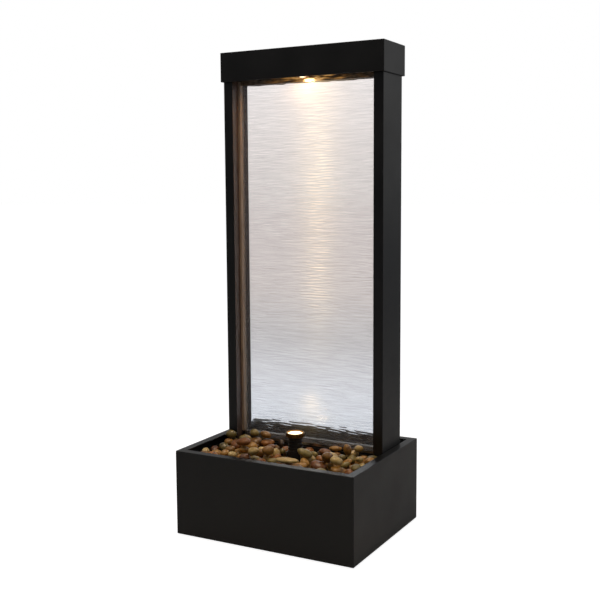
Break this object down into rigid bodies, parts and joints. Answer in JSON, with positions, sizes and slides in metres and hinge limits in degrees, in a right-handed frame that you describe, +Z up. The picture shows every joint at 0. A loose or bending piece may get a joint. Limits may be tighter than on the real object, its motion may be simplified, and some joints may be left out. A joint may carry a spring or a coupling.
{
  "type": "waterfall fountain with glass panel",
  "caption": "Black metal fountain: water falls from a hood down a clear glass panel into a base filled with pebbles, lit by a spot lamp in front and another in the hood.",
  "frame": {"origin": "on the floor under the middle of the base, at the underside of the rubber feet", "axes": "+Z up along the tower, +Y from the pebble basin in front to the glass tower behind, +X to the side of the water pump's riser hose"},
  "size_m": [0.38, 0.3015, 0.938],
  "materials": {
    "powder_coat": "satin black powder coat",
    "black_plastic": "moulded black, matte",
    "rubber": "matte black rubber",
    "grey_gasket": "grey extruded gasket",
    "glass": "clear float glass, wet",
    "stainless": "brushed",
    "brass": "turned",
    "pebbles": "mixed river pebbles, wet",
    "lens": "clear lens, lit warm white",
    "vinyl_hose": "flexible vinyl",
    "ceramic": "ground",
    "magnet": "moulded rotor with a ferrite core"
  },
  "bodies": {
    "frame": {"base_shell": "powder_coat", "left_post": "powder_coat", "right_post": "powder_coat", "lower_crossbar": "powder_coat", "cover_ledge": "powder_coat", "upper_crossbar": "powder_coat", "rear_header_bar": "powder_coat", "reservoir_liner": "black_plastic", "pebble_tray": "black_plastic", "header_spout": "black_plastic", "top_lamp_body": "black_plastic", "pump_body": "black_plastic", "pump_volute": "black_plastic", "intake_cover": "black_plastic", "foot_front_left": "rubber", "foot_front_right": "rubber", "foot_rear_left": "rubber", "foot_rear_right": "rubber", "cable_gland": "rubber", "suction_cup_front_left": "rubber", "suction_cup_front_right": "rubber", "suction_cup_rear_left": "rubber", "suction_cup_rear_right": "rubber", "top_lamp_lead": "rubber", "base_lamp_lead": "rubber", "pump_lead": "rubber", "left_glass_channel": "grey_gasket", "right_glass_channel": "grey_gasket", "glass_panel": "glass", "left_post_bracket": "stainless", "right_post_bracket": "stainless", "post_bolt_left_front": "stainless", "post_bolt_left_rear": "stainless", "post_bolt_right_front": "stainless", "post_bolt_right_rear": "stainless", "left_glass_clip": "stainless", "right_glass_clip": "stainless", "bottom_rail": "stainless", "header_trough": "stainless", "spreader_lip": "stainless", "base_lamp_bracket": "stainless", "base_lamp_pivot_left": "stainless", "base_lamp_pivot_right": "stainless", "lower_hose_clamp": "stainless", "upper_hose_clamp": "stainless", "top_lamp_bezel": "brass", "top_lamp_nut": "brass", "pebble_bed": "pebbles", "top_lamp_lens": "lens", "riser_hose": "vinyl_hose", "impeller_shaft": "ceramic"},
    "hood": {"top_cap": "powder_coat"},
    "cover": {"rear_cover": "powder_coat"},
    "rotor": {"impeller": "magnet"},
    "flow_control": {"flow_dial": "black_plastic"},
    "spotlight": {"base_lamp_body": "black_plastic", "base_lamp_bezel": "brass", "base_lamp_lens": "lens"}
  },
  "joints": [
    {"name": "hood_lift", "type": "slide", "parent": "frame", "child": "hood", "axis": [0, 0, 1], "range_m": [0, 0.08]},
    {"name": "cover_lift", "type": "slide", "parent": "frame", "child": "cover", "axis": [0, 0, 1], "range_m": [0, 0.06]},
    {"name": "rotor_spin", "type": "hinge", "parent": "frame", "child": "rotor", "pos_m": [0.0649, 0.0246, 0.0381], "axis": [0, 1, 0], "continuous": true},
    {"name": "flow_dial_turn", "type": "hinge", "parent": "frame", "child": "flow_control", "pos_m": [0.0649, 0.003, 0.0381], "axis": [0, 1, 0], "range_deg": [0, 90]},
    {"name": "spotlight_tilt", "type": "hinge", "parent": "frame", "child": "spotlight", "pos_m": [0, -0.015, 0.1507], "axis": [1, 0, 0], "range_deg": [-20, 20]}
  ]
}
